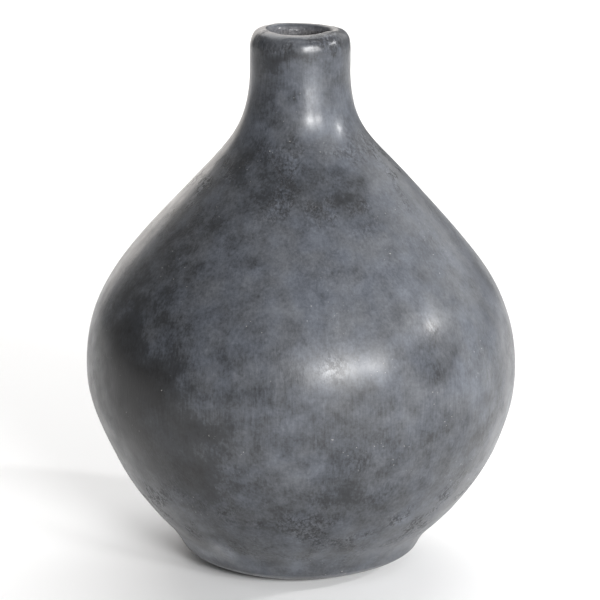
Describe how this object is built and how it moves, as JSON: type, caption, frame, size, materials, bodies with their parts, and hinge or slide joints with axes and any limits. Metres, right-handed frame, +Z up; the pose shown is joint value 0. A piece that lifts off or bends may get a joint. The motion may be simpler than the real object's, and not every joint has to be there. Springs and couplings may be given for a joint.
{
  "type": "bottle vase",
  "caption": "Burnished dark clay bottle vase: round belly on a low rounded foot, sloping shoulder, short neck and thick rolled lip; stands on its foot and holds stems.",
  "frame": {"origin": "centre of the foot's flat resting ring, on the surface that the vase stands on", "axes": "+Z up along the axis that the vase is turned about; -Y is the side seen in the picture; +X to its right"},
  "size_m": [0.1994, 0.1994, 0.251],
  "materials": {
    "burnished_clay": "burnished and smoke blackened, unglazed, low gloss",
    "raw_clay": "smoke blackened, not burnished, matt"
  },
  "bodies": {
    "root": {"foot_ring": "burnished_clay", "base_slab": "raw_clay", "lower_body": "burnished_clay", "upper_body": "burnished_clay", "neck": "burnished_clay", "lip": "burnished_clay"}
  },
  "joints": []
}
